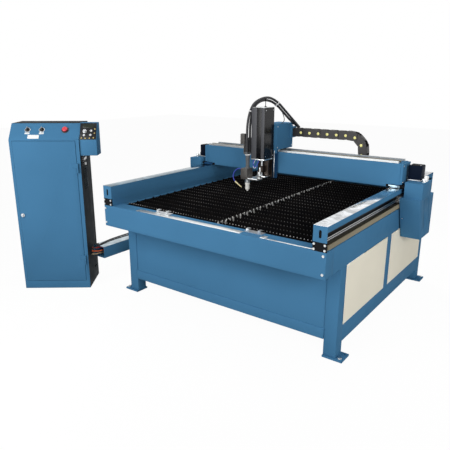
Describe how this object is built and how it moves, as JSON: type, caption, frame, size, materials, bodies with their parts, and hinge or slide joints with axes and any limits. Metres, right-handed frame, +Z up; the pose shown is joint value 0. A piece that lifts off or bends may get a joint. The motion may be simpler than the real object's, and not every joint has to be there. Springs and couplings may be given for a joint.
{
  "type": "cnc plasma table",
  "caption": "CNC plasma cutting table: slatted bed on legs, gantry on guarded side rails, torch on a height slide, drag chains and a free-standing control cabinet.",
  "frame": {"origin": "on the floor, midway between the four anchor holes of the table's feet", "axes": "+X to the table's right as seen from the front, +Y from front to back, +Z up"},
  "size_m": [2.7007, 2.1778, 1.4371],
  "materials": {
    "painted_blue": "satin",
    "cream_paint": "satin",
    "burnt_steel": "rough",
    "bright_steel": "satin",
    "machined_aluminium": "satin",
    "black_paint": "gloss",
    "black_plastic": "matte",
    "grey_plastic": "matte",
    "pale_nozzle": "satin",
    "hose_rubber": "matte",
    "blue_wire": "satin",
    "red_plastic": "gloss",
    "cable_sheath": "matte"
  },
  "bodies": {
    "table": {"front_beam": "painted_blue", "rear_beam": "painted_blue", "side_frames": "painted_blue", "legs": "painted_blue", "foot_plates": "painted_blue", "table_bolts": "bright_steel", "end_panels": "painted_blue", "access_panels": "cream_paint", "slag_tray": "burnt_steel", "slat_combs": "burnt_steel", "slat_divider": "bright_steel", "slats": "burnt_steel", "slat_clips": "bright_steel", "rail_guard_left": "painted_blue", "rail_guard_right": "painted_blue", "guard_brackets": "black_paint", "linear_rails": "bright_steel", "gear_racks": "burnt_steel", "cable_trough": "painted_blue", "trough_stands": "painted_blue", "cabinet_shell": "painted_blue", "operator_box": "painted_blue", "cabinet_electronics": "machined_aluminium", "cabinet_cables": "cable_sheath"},
    "gantry": {"gantry_beam": "painted_blue", "gantry_saddles": "black_paint", "drive_boxes": "painted_blue", "side_box_left": "painted_blue", "side_box_right": "painted_blue", "rail_bearings": "bright_steel", "gantry_motors": "black_paint", "beam_rails": "bright_steel", "beam_rack": "burnt_steel", "chain_tray": "painted_blue", "trough_chain": "black_plastic"},
    "drive_gear_left": {"drive_gear_left": "bright_steel"},
    "drive_gear_right": {"drive_gear_right": "bright_steel"},
    "carriage": {"carriage_plate": "painted_blue", "carriage_bearings": "bright_steel", "carriage_hood": "painted_blue", "carriage_motor": "black_paint", "height_cover": "black_paint", "height_guides": "bright_steel", "height_motor": "black_paint", "beam_chain": "black_plastic"},
    "carriage_pinion": {"carriage_pinion": "bright_steel"},
    "height_screw": {"height_screw": "bright_steel"},
    "torch_head": {"height_slide": "machined_aluminium", "torch_arm": "machined_aluminium", "torch_body": "grey_plastic", "torch_nozzle": "pale_nozzle", "torch_sensor": "grey_plastic", "torch_hoses": "hose_rubber", "sensing_wire": "blue_wire"},
    "cabinet_door": {"cabinet_door": "painted_blue"},
    "door_latch": {"door_latch": "bright_steel"},
    "selector_left": {"selector_left": "black_plastic"},
    "selector_right": {"selector_right": "black_plastic"},
    "stop_button": {"stop_button": "red_plastic"},
    "operator_dial": {"operator_dial": "machined_aluminium"}
  },
  "joints": [
    {"name": "gantry_travel", "type": "slide", "parent": "table", "child": "gantry", "axis": [0, 1, 0], "range_m": [-0.79, 0.41], "deforming": ["trough_chain"]},
    {"name": "carriage_travel", "type": "slide", "parent": "gantry", "child": "carriage", "axis": [1, 0, 0], "range_m": [-0.34, 0.82], "deforming": ["beam_chain"]},
    {"name": "torch_height", "type": "slide", "parent": "carriage", "child": "torch_head", "axis": [0, 0, 1], "range_m": [-0.008, 0.11], "deforming": ["torch_hoses"]},
    {"name": "drive_gear_left_turn", "type": "hinge", "parent": "gantry", "child": "drive_gear_left", "pos_m": [-0.9076, 0.24, 0.736], "axis": [0, 0, 1], "range_deg": [-400, 760]},
    {"name": "drive_gear_right_turn", "type": "hinge", "parent": "gantry", "child": "drive_gear_right", "pos_m": [0.9076, 0.24, 0.736], "axis": [0, 0, 1], "range_deg": [-760, 400]},
    {"name": "carriage_pinion_turn", "type": "hinge", "parent": "carriage", "child": "carriage_pinion", "pos_m": [-0.181, 0.221, 1.028], "axis": [0, 0, 1], "range_deg": [-2620, 1090]},
    {"name": "height_screw_turn", "type": "hinge", "parent": "carriage", "child": "height_screw", "pos_m": [-0.1935, 0.02, 1], "axis": [0, 0, 1], "range_deg": [-150, 1990]},
    {"name": "door_swing", "type": "hinge", "parent": "table", "child": "cabinet_door", "pos_m": [-1.13622, -0.9774, 0.6], "axis": [0, 0, 1], "range_deg": [0, 100]},
    {"name": "latch_turn", "type": "hinge", "parent": "cabinet_door", "child": "door_latch", "pos_m": [-1.48533, -1.23874, 0.59], "axis": [0.6157, -0.788, 0], "range_deg": [0, 90]},
    {"name": "selector_left_turn", "type": "hinge", "parent": "table", "child": "selector_left", "pos_m": [-1.45392, -1.14575, 1.20964], "axis": [0.4665, -0.5971, 0.6525], "range_deg": [-45, 45]},
    {"name": "selector_right_turn", "type": "hinge", "parent": "table", "child": "selector_right", "pos_m": [-1.37355, -1.08295, 1.20964], "axis": [0.4665, -0.5971, 0.6525], "range_deg": [-45, 45]},
    {"name": "stop_press", "type": "slide", "parent": "table", "child": "stop_button", "axis": [-0.4665, 0.5971, -0.6525], "range_m": [0, 0.006], "stiffness_N_per_m": 900, "springref_m": -0.003},
    {"name": "operator_dial_turn", "type": "hinge", "parent": "table", "child": "operator_dial", "pos_m": [-1.12222, -0.90111, 1.201], "axis": [0.5393, -0.6902, 0.4825], "range_deg": [-135, 135]}
  ],
  "couplings": [
    {"joint": "drive_gear_left_turn", "follows": "gantry_travel", "rad_per_m": -16.667},
    {"joint": "drive_gear_right_turn", "follows": "gantry_travel", "rad_per_m": 16.667},
    {"joint": "carriage_pinion_turn", "follows": "carriage_travel", "rad_per_m": -55.556},
    {"joint": "height_screw_turn", "follows": "torch_height", "rad_per_m": 314.16}
  ]
}
